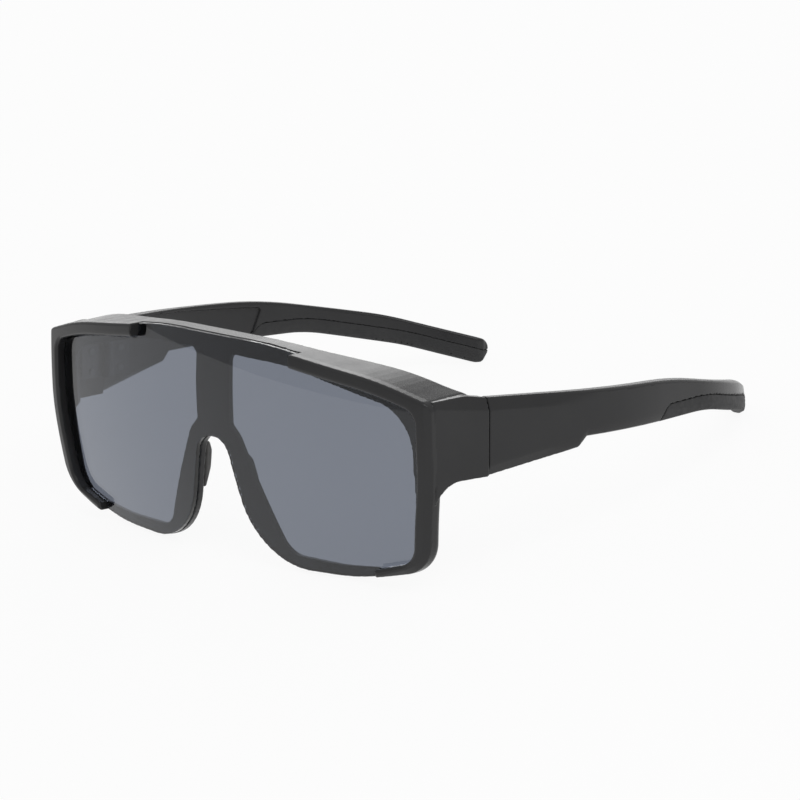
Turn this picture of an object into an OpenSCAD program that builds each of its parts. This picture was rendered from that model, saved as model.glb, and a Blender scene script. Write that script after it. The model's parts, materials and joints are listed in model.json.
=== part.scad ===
// Hiking glasses: one wide shield lens in a moulded frame, with two folding temples.
// The pieces are drawn as worn: nose apex at the origin, front towards -Y, temples along +Y,
// the wearer's left on +X. standing() then sets the open glasses on their rims and temple tips.

/* [Front outline] */
// Half the width across the front rim
rim_half_w = 73.2; // [72:0.2:77]
// Height of the brow above the nose apex, at the middle
brow_h = 27.9; // [25:0.5:31]
// Half the length of the level stretch of the brow
brow_flat = 23.7; // [20:0.5:28]
// How far the brow drops from the middle to the outer corner
brow_drop = 9.3; // [7:0.5:11]
// Radius of the upper outer corner
shoulder_r = 5; // [3:0.5:8]
// Depth of the lower rim below the nose apex
chin_h = 32.4; // [30:0.2:34]
// Radius of the lower outer corner
cheek_r = 11; // [8:0.5:13]
// Distance from the side of the rim to where the lower rim starts to rise
chin_run = 26.2; // [24:0.2:30]
// Half the width of the nose cut at its top
nose_half_w = 5; // [4.5:0.1:6]
// Half the width of the nose cut where its sides meet the line of the lower rim
nose_base = 13.6; // [12.5:0.2:15]
// Radius of the top of the nose cut
nose_r = 5.6; // [4.8:0.1:5.8]
// Radius from the nose cut into the lower rim
nose_flare_r = 22; // [18:1:26]

/* [Front surface] */
// Radius of the front surface, seen from above
face_r = 400; // [330:10:500]
// Radius of the front surface, seen from the side
bulge_r = 150; // [120:5:250]
// Height of its foremost line above the nose apex
bulge_z = 14; // [8:0.5:20]
// Thickness of the shield lens
lens_t = 2; // [1.6:0.1:2.4]
// Thickness of the rim plate behind the lens
plate_t = 1.8; // [1.4:0.1:2.4]
// Clearance around the lens
lens_gap = 0.15; // [0.05:0.05:0.3]

/* [Windows] */
// Width of the bar between the two windows
bar_w = 12.8; // [10:0.2:16]
// Rim width above the windows
rim_top = 4.8; // [4:0.1:6]
// Rim width outside the windows
rim_side = 5.4; // [5:0.1:6.6]
// Rim width below the windows
rim_low = 3.3; // [2.8:0.1:4]
// Rim width between the nose cut and the windows
rim_nose = 6.3; // [5:0.1:7]

/* [Lips] */
// Width of the raised lips that wrap the outer ends of the lens
lip_w = 3.8; // [3:0.1:4.4]
// Height of the lips in front of the lens
lip_rise = 1.6; // [1:0.1:2.5]
// Distance from the middle to the upper end of a lip
lip_top_x = 30.5; // [26:0.5:40]
// Distance from the middle to the lower end of a lip
lip_low_x = 53; // [48:0.5:56]

/* [Brow and end blocks] */
// Thickness of the brow shelf
brow_t = 3.2; // [2.4:0.1:4]
// Depth of the brow shelf at the middle, from the front of the lens
brow_d = 10; // [8:0.5:13]
// Distance from the nose apex back to the hinge line
hinge_y = 25; // [22:0.5:28]
// How far the end blocks flare outside the rim at the hinge line
block_flare = 4.9; // [4.4:0.1:5.4]
// Thickness of the end blocks
block_t = 4.8; // [4.4:0.1:5.2]
// Height of the end block at the hinge line
block_h = 19.8; // [18:0.2:21]
// Height of the underside of the end block, below the nose apex
block_low = 2.4; // [1:0.1:4]
// Radius of the fillet from the rim into the underside of the end block
block_fillet = 4; // [3:0.5:5]
// Height of the upper bevel along the end block and the temple
bevel_h = 3.3; // [2:0.1:4]
// Depth of that bevel
bevel_d = 1.1; // [0.6:0.1:1.5]

/* [Nose pads] */
// Length of a nose pad along the nose cut
pad_l = 13; // [10:0.5:15]
// Depth of a nose pad behind the rim plate
pad_d = 3.5; // [2.6:0.1:3.6]
// Thickness of a nose pad
pad_t = 1.7; // [1.2:0.1:2.2]
// Angle by which the nose pads open towards the face
pad_splay = 42; // [35:1:50]
// Clearance between a nose pad and the rim plate
pad_gap = 0.15; // [0.1:0.05:0.3]

/* [Hinges] */
// Number of knuckles in a hinge, odd
knuckles = 5; // [3:2:7]
// Height of one knuckle
knuckle_h = 1.9; // [1.5:0.1:2.2]
// Outer radius of a knuckle
knuckle_r = 1.5; // [1.3:0.05:1.7]
// Radius of the hinge screw
screw_r = 0.7; // [0.5:0.05:0.8]
// Radial clearance of the knuckles on the screw
screw_fit = 0.05; // [0.03:0.01:0.1]
// Clearance between knuckles, along the screw
knuckle_gap = 0.06; // [0.04:0.01:0.12]
// Thickness of a hinge leaf
leaf_t = 0.9; // [0.7:0.05:1.1]
// Length of the riveted part of a leaf
leaf_l = 6.8; // [6:0.2:8]
// Height of the middle of the hinge above the nose apex
hinge_z = 7.5; // [6:0.1:9]
// Radius of a leaf rivet
rivet_r = 0.7; // [0.5:0.05:0.8]
// Depth of a leaf rivet in the plastic
rivet_l = 1.6; // [1.2:0.1:1.8]
// Gap between the end block and the temple
split_gap = 0.2; // [0.1:0.05:0.4]

/* [Temples] */
// Length of a temple, straight back from the hinge line
temple_l = 129; // [120:1:140]
// Thickness of a temple
temple_t = 4; // [3.6:0.1:4.4]
// How far a temple bows outwards before it turns in
temple_bow = 8.4; // [4:0.2:10]
// Radius in which it turns in
turn_r = 73; // [60:1:80]
// How far the temple turns in, from the hinge end to its narrowest place
tip_in = 24.7; // [20:0.1:30]
// Length of the slanting tip, which flares outwards again
tip_l = 4.4; // [3:0.1:6]
// Drop of the lower edge at the tip, from the underside of the end block
tip_drop = 4.8; // [4:0.2:9]
// Height of the rear half of a temple, behind the step
arm_h = 10.4; // [9:0.2:12]
// Height of a temple at its tip
tip_h = 7.9; // [6:0.1:9]
// Distance from the hinge line to the step in the lower edge
step_y = 27.5; // [24:0.5:32]
// Height of the step in the lower edge
step_h = 2.6; // [1.6:0.1:3.2]
// Depth of the recess in the inner face
recess_d = 0.7; // [0.3:0.1:1]
// Distance from the hinge line to the front end of that recess
recess_y = 16; // [13:1:20]

/* [Ear grips] */
// Distance from the hinge line to the front end of an ear grip
grip_y = 57.6; // [50:0.2:66]
// Height of an ear grip above the lower edge of the temple
grip_h = 4.2; // [3.4:0.1:5]
// Thickness of the soft skin of an ear grip
grip_t = 1.1; // [0.8:0.1:1.3]
// Width of the groove between an ear grip and the temple
grip_gap = 0.15; // [0.1:0.05:0.3]

/* [Hidden] */

arc_step = 6;
round_fn = 48;
far = 200;

// Depths behind the front surface of the lens
bulge_back = bulge_r - sqrt(bulge_r * bulge_r - bulge_z * bulge_z);
plate_w = lens_t + lens_gap;
rear_w = plate_w + plate_t;

// Upper outer corner, lower rim and the slope between them
shoulder_z = brow_h - brow_drop;
brow_slope = brow_drop / (rim_half_w - brow_flat);
chin_x = rim_half_w - chin_run;
chin_rise = 6.4;
chin_step = 0.8;
cheek_in = 3.4;
side_r = 70;

// Hinge: the temple's inner face, the pin and the leaves
block_x = rim_half_w + block_flare;
inner_x = block_x - block_t;
seat_gap = 0.15;
pin_x = inner_x - seat_gap - knuckle_r;
pin_y = hinge_y + split_gap / 2;
hinge_h = knuckles * knuckle_h;
bore_r = screw_r + screw_fit;
swing_r = knuckle_r + 0.25;
screw_head_r = knuckle_r - 0.15;
screw_head_h = 0.8;
rivet_head_r = rivet_r + 0.5;
rivet_head_h = 0.45;
rivet_fit = 0.05;
boss_edge = 0.6;
rivet_z = hinge_h / 2 - rivet_head_r - 0.7;
temple_y = hinge_y + split_gap;

// Rounding of the inner edges of a temple
edge_r = 0.8;

// Temple heights at the hinge line
root_low = -block_low;
root_top = block_h - block_low;

function unit(v) = v / norm(v);

function xy(p) = [p[0], p[1]];

// Points of the arc that rounds corner b, given as [x, y, radius], between a and c
function corner(a, b, c) =
    let (p = xy(b), u = unit(xy(a) - p), v = unit(xy(c) - p), half = acos(u * v) / 2,
         mid = p + unit(u + v) * b[2] / sin(half), run = b[2] / tan(half),
         first = p + u * run - mid, last = p + v * run - mid,
         start = atan2(first[1], first[0]),
         turn = 180 - 2 * half,
         side = sign(first[0] * last[1] - first[1] * last[0]),
         n = max(2, ceil(turn / arc_step)))
    b[2] == 0 ? [p] : [for (i = [0:n])
        mid + b[2] * [cos(start + side * turn * i / n), sin(start + side * turn * i / n)]];

// A line through rounded corners, whose two ends stay sharp
function rounded_line(c) = [for (i = [0:len(c) - 1]) each
    i == 0 || i == len(c) - 1 ? [xy(c[i])] : corner(c[i - 1], c[i], c[i + 1])];

// A closed outline of rounded corners
function rounded_loop(c) = let (n = len(c)) [for (i = [0:n - 1]) each
    corner(c[(i + n - 1) % n], c[i], c[(i + 1) % n])];

// The same points on the other side, in reverse order
function mirrored(p) = [for (i = [len(p) - 1:-1:0]) [-p[i][0], p[i][1]]];

// Front outlines, as [x, z] seen from the front

function front_side() = rounded_line([
    [0, brow_h],
    [brow_flat, brow_h, 140],
    [rim_half_w, shoulder_z, shoulder_r],
    [rim_half_w + 0.3, -2, side_r],
    [rim_half_w - cheek_in, chin_rise - chin_h, cheek_r],
    [chin_x, chin_step - chin_h, side_r],
    [nose_base, -chin_h - 0.4, nose_flare_r],
    [nose_half_w, 0, nose_r],
    [0, 0]]);

module front_outline() {
    side = front_side();
    polygon(concat(side, mirrored(side)));
}

// One window, on the wearer's left
function window_left() =
    let (bar = bar_w / 2, top = brow_h - rim_top + 0.1,
         out = rim_half_w - rim_side, low = rim_low - chin_h,
         nose_x = nose_half_w + rim_nose)
    rounded_loop([
        [bar, top, 2.2],
        [28, top - 0.6, 60],
        [out - 0.3, shoulder_z - 3.7, 13],
        [out + 0.2, -6, side_r],
        [out - 1.3, low + 2.2, 8.5],
        [chin_x - 5, low - 0.2, side_r],
        [nose_base + 10.8, low + 0.1, 5.5],
        [nose_x - 1.9, 1.1, 7],
        [bar, 4.2, 1]]);

module windows() {
    polygon(window_left());
    polygon(mirrored(window_left()));
}

// Centre of the round end of a lip, a half lip's width inside the outline
function lip_end_top() = [lip_top_x + lip_w / 2,
    brow_h - (lip_top_x + lip_w / 2 - brow_flat) * brow_slope - lip_w / 2 - 0.1];

function lip_end_low() =
    let (x = lip_low_x + lip_w / 2,
         slope = (chin_rise - chin_step) / (chin_run - cheek_in))
    [x, chin_step - chin_h + max(0, x - chin_x) * slope + lip_w / 2 + 0.1];

module lip_left() {
    intersection() {
        difference() {
            front_outline();
            offset(delta = -lip_w) front_outline();
        }
        polygon([lip_end_top() + [0, far / 4], [far, far / 4], [far, -far / 4],
            lip_end_low() - [0, far / 4], [lip_low_x, -5], [lip_top_x, -5]]);
    }
    translate(lip_end_top()) circle(r = lip_w / 2 - 0.05, $fn = round_fn);
    translate(lip_end_low()) circle(r = lip_w / 2 - 0.05, $fn = round_fn);
}

module lips() {
    lip_left();
    mirror([1, 0]) lip_left();
}

// Solids with a front outline run through from front to back
module through(depth = far) {
    translate([0, depth / 2, 0]) rotate([90, 0, 0]) linear_extrude(depth) children();
}

// Everything that lies deeper than w behind the front surface of the lens
module behind(w) {
    translate([0, face_r - bulge_back, 0]) rotate_extrude($fn = 720)
        translate([face_r - bulge_r, bulge_z]) circle(r = bulge_r - w, $fn = 180);
}

// The same surface as a depth behind the nose apex
function face_y(x, z, w = 0) =
    let (rise = sqrt(pow(bulge_r - w, 2) - pow(z - bulge_z, 2)))
    face_r - sqrt(pow(face_r - bulge_r + rise, 2) - x * x) - bulge_back;

// Front frame

// Rear edge of the brow shelf, seen from above
function brow_rear() = rounded_line([
    [0, brow_d - 3],
    [brow_flat, brow_d - 3.3, 90],
    [rim_half_w - 15, hinge_y - 6.7, 40],
    [rim_half_w - 3, hinge_y - 5.5, 10],
    [block_x + 2, hinge_y]]);

module shelf_plan() {
    rear = brow_rear();
    polygon(concat(rear, [[block_x + 2, -20]], [[-block_x - 2, -20]], mirrored(rear)));
}

module under_brow() {
    line = rounded_line([[0, brow_h - brow_t], [brow_flat, brow_h - brow_t, 140],
        [rim_half_w + 6, shoulder_z - brow_t - 6 * brow_slope]]);
    polygon(concat(line, [[rim_half_w + 6, -far / 3]], [[-rim_half_w - 6, -far / 3]],
        mirrored(line)));
}

module rim_and_brow() {
    difference() {
        intersection() {
            through() front_outline();
            behind(-lip_rise);
            translate([0, 0, -far / 2]) linear_extrude(far) shelf_plan();
        }
        // Pocket for the lens
        difference() {
            through() difference() {
                square([2 * far, 2 * far], center = true);
                lips();
            }
            behind(plate_w);
        }
        // Open space behind the rim plate
        intersection() {
            through() under_brow();
            behind(rear_w);
        }
        through() windows();
    }
}

// The block grows out of the middle of the rim plate, behind the lens
block_edge = rim_half_w - 0.8;
block_web = 4.4;
block_foot = -block_low - block_fillet - 1;
block_front = face_y(block_edge - block_web, bulge_z, 0);
block_bend = face_y(block_edge, block_foot, rear_w) + 1.7;

function block_plan() =
    rounded_loop([
        [block_edge, block_front, 0],
        [block_edge + 0.9, block_bend, 4],
        [block_x, hinge_y, 0],
        [inner_x, hinge_y, 0],
        [inner_x, pin_y - swing_r - leaf_l - 1.6, 1.5],
        [inner_x - 2.2, block_bend + 0.6, 2],
        [block_edge - block_web, block_bend - 2, 0],
        [block_edge - block_web, block_front, 0]]);

function block_side() =
    let (top = shoulder_z - 0.3, rear = block_bend - 0.8)
    rounded_loop([
        [block_front, top - 0.2, 0],
        [block_front, block_foot, 0],
        [rear - 0.3, block_foot, 0],
        [rear, -block_low - 0.3, block_fillet],
        [hinge_y, -block_low, 0],
        [hinge_y, root_top, 0],
        [block_bend, top, 12]]);

module end_block() {
    intersection() {
        translate([0, 0, -far / 2]) linear_extrude(far) polygon(block_plan());
        rotate([90, 0, 90]) linear_extrude(far) polygon(block_side());
        bevel_side(root_top);
        behind(rear_w - plate_t / 2);
    }
}

// Keeps what lies inside the upper bevel of an end block
module bevel_side(top) {
    rotate([0, 0, -atan(block_flare / (hinge_y - 5))])
        translate([block_x * 0.985, 0, top])
        multmatrix([[1, 0, 0, 0], [0, 1, 0, 0], [0, -0.06, 1, 0.06 * hinge_y], [0, 0, 0, 1]])
        rotate([90, 0, 0]) translate([0, 0, -far / 2])
        linear_extrude(far) polygon([[-40, 20], [-40, -60], [20, -60], [20, -bevel_h],
            [0.9, -bevel_h], [0.9 - bevel_d, 0], [0.9 - bevel_d - 0.5, 20]]);
}

// Bores for the rivets of a leaf, on the end block (side = -1) or the temple (side = 1)
module rivet_bores(side) {
    for (z = [-rivet_z, rivet_z])
        translate([inner_x, rivet_y(side), hinge_z + z]) rotate([0, 90, 0])
            cylinder(r = rivet_r + rivet_fit, h = 2 * (rivet_l + 0.2), center = true,
                $fn = round_fn);
}

function rivet_y(side) = pin_y + side * (swing_r + leaf_l / 2);

module front_frame() {
    color("#46464a") standing() difference() {
        union() {
            rim_and_brow();
            end_block();
            mirror([1, 0, 0]) end_block();
        }
        rivet_bores(-1);
        mirror([1, 0, 0]) rivet_bores(-1);
    }
}

// Shield lens

module lens_outline() {
    difference() {
        offset(delta = -lens_gap) front_outline();
        offset(delta = lens_gap) lips();
    }
}

module shield_lens() {
    color("#7c838e", 0.6) standing() difference() {
        intersection() {
            through() lens_outline();
            behind(0);
        }
        behind(lens_t);
    }
}

// Nose pads

nose_lean = atan((nose_base - nose_half_w) / chin_h);
pad_top = -3.6;

function nose_x(z) = nose_half_w + tan(nose_lean) * -z;

module nose_pad() {
    x = nose_x(pad_top);
    y = face_y(x, pad_top, rear_w);
    low = pad_top - pad_l;
    pitch = atan((face_y(nose_x(low), low, rear_w) - y) / pad_l);
    translate([x + pad_t * 0.6, y + pad_gap, pad_top])
        rotate([pitch, 0, 0]) rotate([0, -nose_lean, 0]) rotate([0, 0, -pad_splay])
        rotate([90, 0, 90]) linear_extrude(pad_t, center = true)
        polygon(rounded_loop([[0.9, 0, 0.6], [pad_d, -1.2, 1.6],
            [pad_d, 1.2 - pad_l, 1.6], [0.9, -pad_l, 0.6]]));
}

module nose_pad_left() {
    color("#3c3c40") standing() nose_pad();
}

module nose_pad_right() {
    color("#3c3c40") standing() mirror([1, 0, 0]) nose_pad();
}

// Hinges

// Knuckles of one leaf: even ones belong to the end block, odd ones to the temple
module knuckle_set(first, side) {
    for (i = [first:2:knuckles - 1])
        translate([pin_x, pin_y, hinge_z - hinge_h / 2 + i * knuckle_h + knuckle_gap / 2]) {
            cylinder(r = knuckle_r, h = knuckle_h - knuckle_gap, $fn = round_fn);
            translate([knuckle_r - leaf_t, side < 0 ? -swing_r - 0.4 : 0, 0])
                cube([leaf_t + seat_gap / 2, swing_r + 0.4, knuckle_h - knuckle_gap]);
        }
}

module leaf(first, side) {
    difference() {
        union() {
            knuckle_set(first, side);
            translate([inner_x - leaf_t, side < 0 ? pin_y - swing_r - leaf_l : pin_y + swing_r,
                hinge_z - hinge_h / 2]) cube([leaf_t, leaf_l, hinge_h]);
        }
        translate([pin_x, pin_y, hinge_z]) cylinder(r = bore_r, h = far, center = true,
            $fn = round_fn);
        rivet_bores(side);
    }
}

module hinge_front_leaf_left() {
    color("#4a4a4e") standing() leaf(0, -1);
}

module hinge_front_leaf_right() {
    color("#4a4a4e") standing() mirror([1, 0, 0]) leaf(0, -1);
}

module hinge_temple_leaf_left() {
    color("#4a4a4e") standing() leaf(1, 1);
}

module hinge_temple_leaf_right() {
    color("#4a4a4e") standing() mirror([1, 0, 0]) leaf(1, 1);
}

module hinge_screw() {
    translate([pin_x, pin_y, hinge_z - hinge_h / 2])
        cylinder(r = screw_r, h = hinge_h, $fn = round_fn);
    translate([pin_x, pin_y, hinge_z + hinge_h / 2]) difference() {
        cylinder(r = screw_head_r, h = screw_head_h, $fn = round_fn);
        translate([-knuckle_r, -0.15, screw_head_h - 0.3]) cube([2 * knuckle_r, 0.3, 1]);
    }
}

module hinge_screw_left() {
    color("#545458") standing() hinge_screw();
}

module hinge_screw_right() {
    color("#545458") standing() mirror([1, 0, 0]) hinge_screw();
}

// Two rivets through a leaf
module rivets(side) {
    for (z = [-rivet_z, rivet_z])
        translate([inner_x - leaf_t, rivet_y(side), hinge_z + z]) rotate([0, 90, 0]) {
            cylinder(r = rivet_r, h = leaf_t + rivet_l, $fn = round_fn);
            translate([0, 0, -rivet_head_h])
                cylinder(r1 = rivet_head_r - 0.3, r2 = rivet_head_r, h = rivet_head_h,
                    $fn = round_fn);
        }
}

module front_rivets_left() {
    color("#545458") standing() rivets(-1);
}

module front_rivets_right() {
    color("#545458") standing() mirror([1, 0, 0]) rivets(-1);
}

module temple_rivets_left() {
    color("#545458") standing() rivets(1);
}

module temple_rivets_right() {
    color("#545458") standing() mirror([1, 0, 0]) rivets(1);
}

// Temples

// Outer face seen from above, as [y, x]
tip_y = temple_y + temple_l - tip_l;
temple_line = rounded_line([
    [temple_y, block_x],
    [temple_y + 0.31 * temple_l, block_x + temple_bow, 1.6 * turn_r],
    [temple_y + 0.78 * temple_l, block_x, turn_r],
    [tip_y, block_x - tip_in, 2],
    [tip_y + 2 * tip_l, block_x - tip_in - 0.4 * tip_l]]);

// Upper and lower edges seen from the side, as [y, z]
tip_low_z = root_low - tip_drop;
top_line = rounded_line([
    [temple_y, root_top],
    [temple_y + 0.55 * temple_l, root_top - 3.6, 2 * turn_r],
    [temple_y + 0.8 * temple_l, root_top - 9.3, turn_r],
    [tip_y + 0.7 * tip_l, tip_low_z + tip_h - 0.25 * tip_l, 1.6],
    [tip_y + 1.2 * tip_l, tip_low_z + tip_h - 0.75 * tip_l]]);
arm_z = root_top - 3.6 - arm_h + 1.1;
low_line = rounded_line([
    [temple_y, root_low],
    [temple_y + step_y - 1.3, arm_z - step_h, 1],
    [temple_y + step_y + 1.3, arm_z, 1],
    [temple_y + 0.62 * temple_l, arm_z - 0.2, 60],
    [temple_y + 0.84 * temple_l, arm_z - 6.2, 60],
    [tip_y, tip_low_z, 2],
    [tip_y + 1.2 * tip_l, tip_low_z + 1.3 * tip_l]]);

// Stations along a temple, closer together at the step and at the tip
tip_round = 0.3 * tip_l;
recess_run = 1.2;
grip_start = temple_y + grip_y;
front_stations = concat(
    [for (t = [0, 0.33, 0.67, 1]) temple_y + t * recess_y],
    [temple_y + recess_y + recess_run],
    [for (d = [-1.8, -0.9, 0, 0.9, 1.8]) temple_y + step_y + d],
    [for (y = [temple_y + step_y + 8:6.5:grip_start - 5]) y]);
rear_stations = concat(
    [for (i = [0:11]) grip_start + 8 + i * (tip_y - 2 - grip_start - 8) / 11],
    [for (s = [-0.3, -0.15, 0, 0.15, 0.3, 0.5]) tip_y + s * tip_l],
    [for (s = [0, 0.45, 0.7, 0.85, 0.95]) temple_y + temple_l - tip_round * (1 - s)]);

function ramp(y, a, b) = let (t = max(0, min(1, (y - a) / (b - a)))) t * t * (3 - 2 * t);

// Rounding of the tip, as a share of the height left at y
function tip_share(y) = let (d = max(0, y - temple_y - temple_l + tip_round) / tip_round)
    sqrt(max(0, 1 - d * d));

// Half the height at station y, and the share by which edges shrink towards the tip
function half_at(y) = (lookup(y, top_line) - lookup(y, low_line)) / 2 * tip_share(y);

function shrink(y) = min(1, half_at(y) / 3);

// Height of the upper edge of the ear grip, from the middle of the section
function grip_edge(y) = -half_at(y) + min(grip_h, half_at(y) * 1.13);

// Depth of the recess in the inner face at y, which ends at the ear grip
function recess(y) = recess_d * ramp(y, temple_y + recess_y, temple_y + recess_y + recess_run);

// Places section points, given as [depth inside the outer face, height], at station y.
// slant moves the upper ones back and skew the inner ones, for the front end of the ear grip.
function placed(y, points, slant = 0, skew = 0) =
    let (slope = (lookup(y + 1, temple_line) - lookup(y - 1, temple_line)) / 2,
         t = unit([slope * ramp(y, temple_y, temple_y + 14), 1]),
         mid = (lookup(y, top_line) + lookup(y, low_line)) / 2, half = half_at(y))
    [for (p = points)
        let (back = y + slant * max(0, min(1, (p[1] + half) / grip_h)) + skew * p[0])
        [lookup(back, temple_line) - p[0] * t[1], back + p[0] * t[0], mid + p[1]]];

// The lower part of a section, at a depth d inside the skin and ending at the height top
function low_part(y, d, top, r = 0) =
    let (k = shrink(y), e = d * k, half = half_at(y),
         low_h = k * (2.9 - 1.9 * ramp(y, temple_y + step_y - 3, temple_y + step_y + 3)),
         low_d = k * (1.2 - 0.3 * ramp(y, temple_y + step_y, temple_y + temple_l / 2))
             * (1 - 0.4 * d),
         back = temple_t - e - r)
    [[e, top],
     [e, e + low_h - half], [e + low_d * 0.4, e + low_h * 0.4 - half],
     [e + low_d, e - half], [back - low_d, e - half],
     [back - low_d * 0.4, e + low_h * 0.4 - half], [back, e + low_h - half],
     [back, top]];

// The whole section, with the lower part drawn in by d and a recess r deep in the inner face
function section(y, d, top, r = 0) =
    let (k = shrink(y), half = half_at(y), edge = grip_edge(y),
         fade = ramp(y, temple_y + step_y, temple_y + temple_l / 2),
         high_h = bevel_h * (1 - 0.6 * fade) * k, in = edge_r * k,
         band = half - in - (0.2 + 0.6 * ramp(y, temple_y + step_y, grip_start)) * k)
    concat(
        [[bevel_d * k, half], [bevel_d * 0.35 * k, half - high_h * 0.5],
         [0, half - high_h], [0, edge]],
        low_part(y, d, top, r),
        [[temple_t - r, edge], [temple_t - r, band - r], [temple_t, band],
         [temple_t, half - in],
         [temple_t - in * 0.3, half - in * 0.3], [temple_t - in, half]]);

// A solid through equal rings of points
module loft(rings, caps) {
    n = len(rings[0]);
    m = len(rings);
    polyhedron(
        points = [for (r = rings) each r],
        faces = concat(
            [for (c = caps) c],
            [for (i = [0:m - 2]) for (j = [0:n - 1]) each
                [[i * n + j, (i + 1) * n + j, (i + 1) * n + (j + 1) % n],
                 [i * n + j, (i + 1) * n + (j + 1) % n, i * n + (j + 1) % n]]],
            [for (c = caps) [for (j = [len(c) - 1:-1:0]) (m - 1) * n + c[j]]]));
}

shoulder_run = 0.3;
grip_skew = 0.6;

module arm() {
    y0 = grip_start;
    edge = grip_edge(y0);
    rings = concat(
        [for (y = front_stations) placed(y, section(y, 0, grip_edge(y) - 0.5, recess(y)))],
        [placed(y0 - 2 * shoulder_run, section(y0, 0, edge - 0.5, recess_d), grip_h, grip_skew),
         placed(y0, section(y0, 0, edge - 0.5), grip_h, grip_skew),
         placed(y0 + shoulder_run, section(y0, grip_t, edge), grip_h, grip_skew)],
        [for (y = rear_stations) placed(y, section(y, grip_t, grip_edge(y)))]);
    loft(rings, [[for (j = [0:len(rings[0]) - 1]) j]]);
}

function grip_ring(y, slant = 0, skew = 0) =
    let (top = grip_edge(y) - grip_gap * shrink(y), skin = low_part(y, 0, top),
         core = low_part(y, grip_t - grip_gap, top), n = len(core))
    placed(y, concat(skin, [for (i = [n - 1:-1:0]) core[i]]), slant, skew);

module hinge_boss() {
    translate([inner_x, temple_y, hinge_z - hinge_h / 2 - boss_edge])
        cube([block_t - temple_t + 1, swing_r + leaf_l + boss_edge, hinge_h + 2 * boss_edge]);
}

module temple() {
    difference() {
        union() {
            arm();
            hinge_boss();
        }
        rivet_bores(1);
    }
}

module ear_grip() {
    rings = concat([grip_ring(grip_start + shoulder_run + grip_gap, grip_h, grip_skew)],
        [for (y = rear_stations) grip_ring(y)]);
    n = len(rings[0]);
    loft(rings, [for (j = [0:n / 2 - 2]) each
        [[j, j + 1, n - 2 - j], [j, n - 2 - j, n - 1 - j]]]);
}

module temple_left() {
    color("#48484c") standing() temple();
}

module temple_right() {
    color("#48484c") standing() mirror([1, 0, 0]) temple();
}

module ear_grip_left() {
    color("#3a3a3e") standing() ear_grip();
}

module ear_grip_right() {
    color("#3a3a3e") standing() mirror([1, 0, 0]) ear_grip();
}

// Standing pose: the rear lower edge of the rim and the round ends of the temples on z = 0

rest_guess = 10;
rim_points = [for (p = front_side()) [face_y(p[0], p[1], rear_w), p[1]]];
rim_heights = [for (p = rim_points) p[1] * cos(rest_guess) - p[0] * sin(rest_guess)];
rim_foot = [for (i = [0:len(rim_points) - 1])
    if (rim_heights[i] == min(rim_heights)) rim_points[i]][0];
tip_points = [for (y = rear_stations)
    [y, (lookup(y, top_line) + lookup(y, low_line)) / 2 - half_at(y)]];
tip_heights = [for (p = tip_points) p[1] * cos(rest_guess) - p[0] * sin(rest_guess)];
tip_foot = [for (i = [0:len(tip_points) - 1])
    if (tip_heights[i] == min(tip_heights)) tip_points[i]][0];
rest_tilt = atan2(tip_foot[1] - rim_foot[1], tip_foot[0] - rim_foot[0]);
rest_lift = rim_foot[0] * sin(rest_tilt) - rim_foot[1] * cos(rest_tilt);
rest_front = (bulge_r - bulge_back) * cos(rest_tilt) + bulge_z * sin(rest_tilt) - bulge_r;
rest_rear = (temple_y + temple_l) * cos(rest_tilt)
    + (tip_low_z + tip_h / 2) * sin(rest_tilt);
rest_back = (rest_front + rest_rear) / 2;

module standing() {
    translate([0, -rest_back, rest_lift]) rotate([-rest_tilt, 0, 0]) children();
}

front_frame();
shield_lens();
nose_pad_left();
nose_pad_right();
hinge_front_leaf_left();
hinge_front_leaf_right();
hinge_temple_leaf_left();
hinge_temple_leaf_right();
hinge_screw_left();
hinge_screw_right();
front_rivets_left();
front_rivets_right();
temple_rivets_left();
temple_rivets_right();
temple_left();
temple_right();
ear_grip_left();
ear_grip_right();
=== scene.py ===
import json
import math

import bpy
import numpy as np
from mathutils import Matrix, Vector


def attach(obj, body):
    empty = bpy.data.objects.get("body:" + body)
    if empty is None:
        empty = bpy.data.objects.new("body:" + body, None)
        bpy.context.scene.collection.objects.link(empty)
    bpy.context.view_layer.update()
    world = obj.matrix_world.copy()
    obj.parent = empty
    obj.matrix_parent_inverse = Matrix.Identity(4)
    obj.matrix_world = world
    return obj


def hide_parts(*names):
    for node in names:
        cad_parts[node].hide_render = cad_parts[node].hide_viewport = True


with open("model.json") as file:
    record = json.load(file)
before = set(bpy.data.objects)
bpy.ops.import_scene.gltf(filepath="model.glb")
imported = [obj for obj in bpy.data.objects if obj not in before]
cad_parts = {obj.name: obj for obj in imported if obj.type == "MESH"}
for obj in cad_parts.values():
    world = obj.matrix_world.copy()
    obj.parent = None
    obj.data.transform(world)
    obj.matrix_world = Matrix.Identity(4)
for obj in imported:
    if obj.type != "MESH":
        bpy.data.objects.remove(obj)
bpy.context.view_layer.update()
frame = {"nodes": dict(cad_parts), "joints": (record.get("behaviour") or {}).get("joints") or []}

# Hiking glasses with one curved shield lens between raised lips
# Sizes in millimetres, as worn: nose apex at the origin, front towards -Y, wearer's left on +X
# A pair of values is where a form starts and stops changing, or its size at those two places

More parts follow.
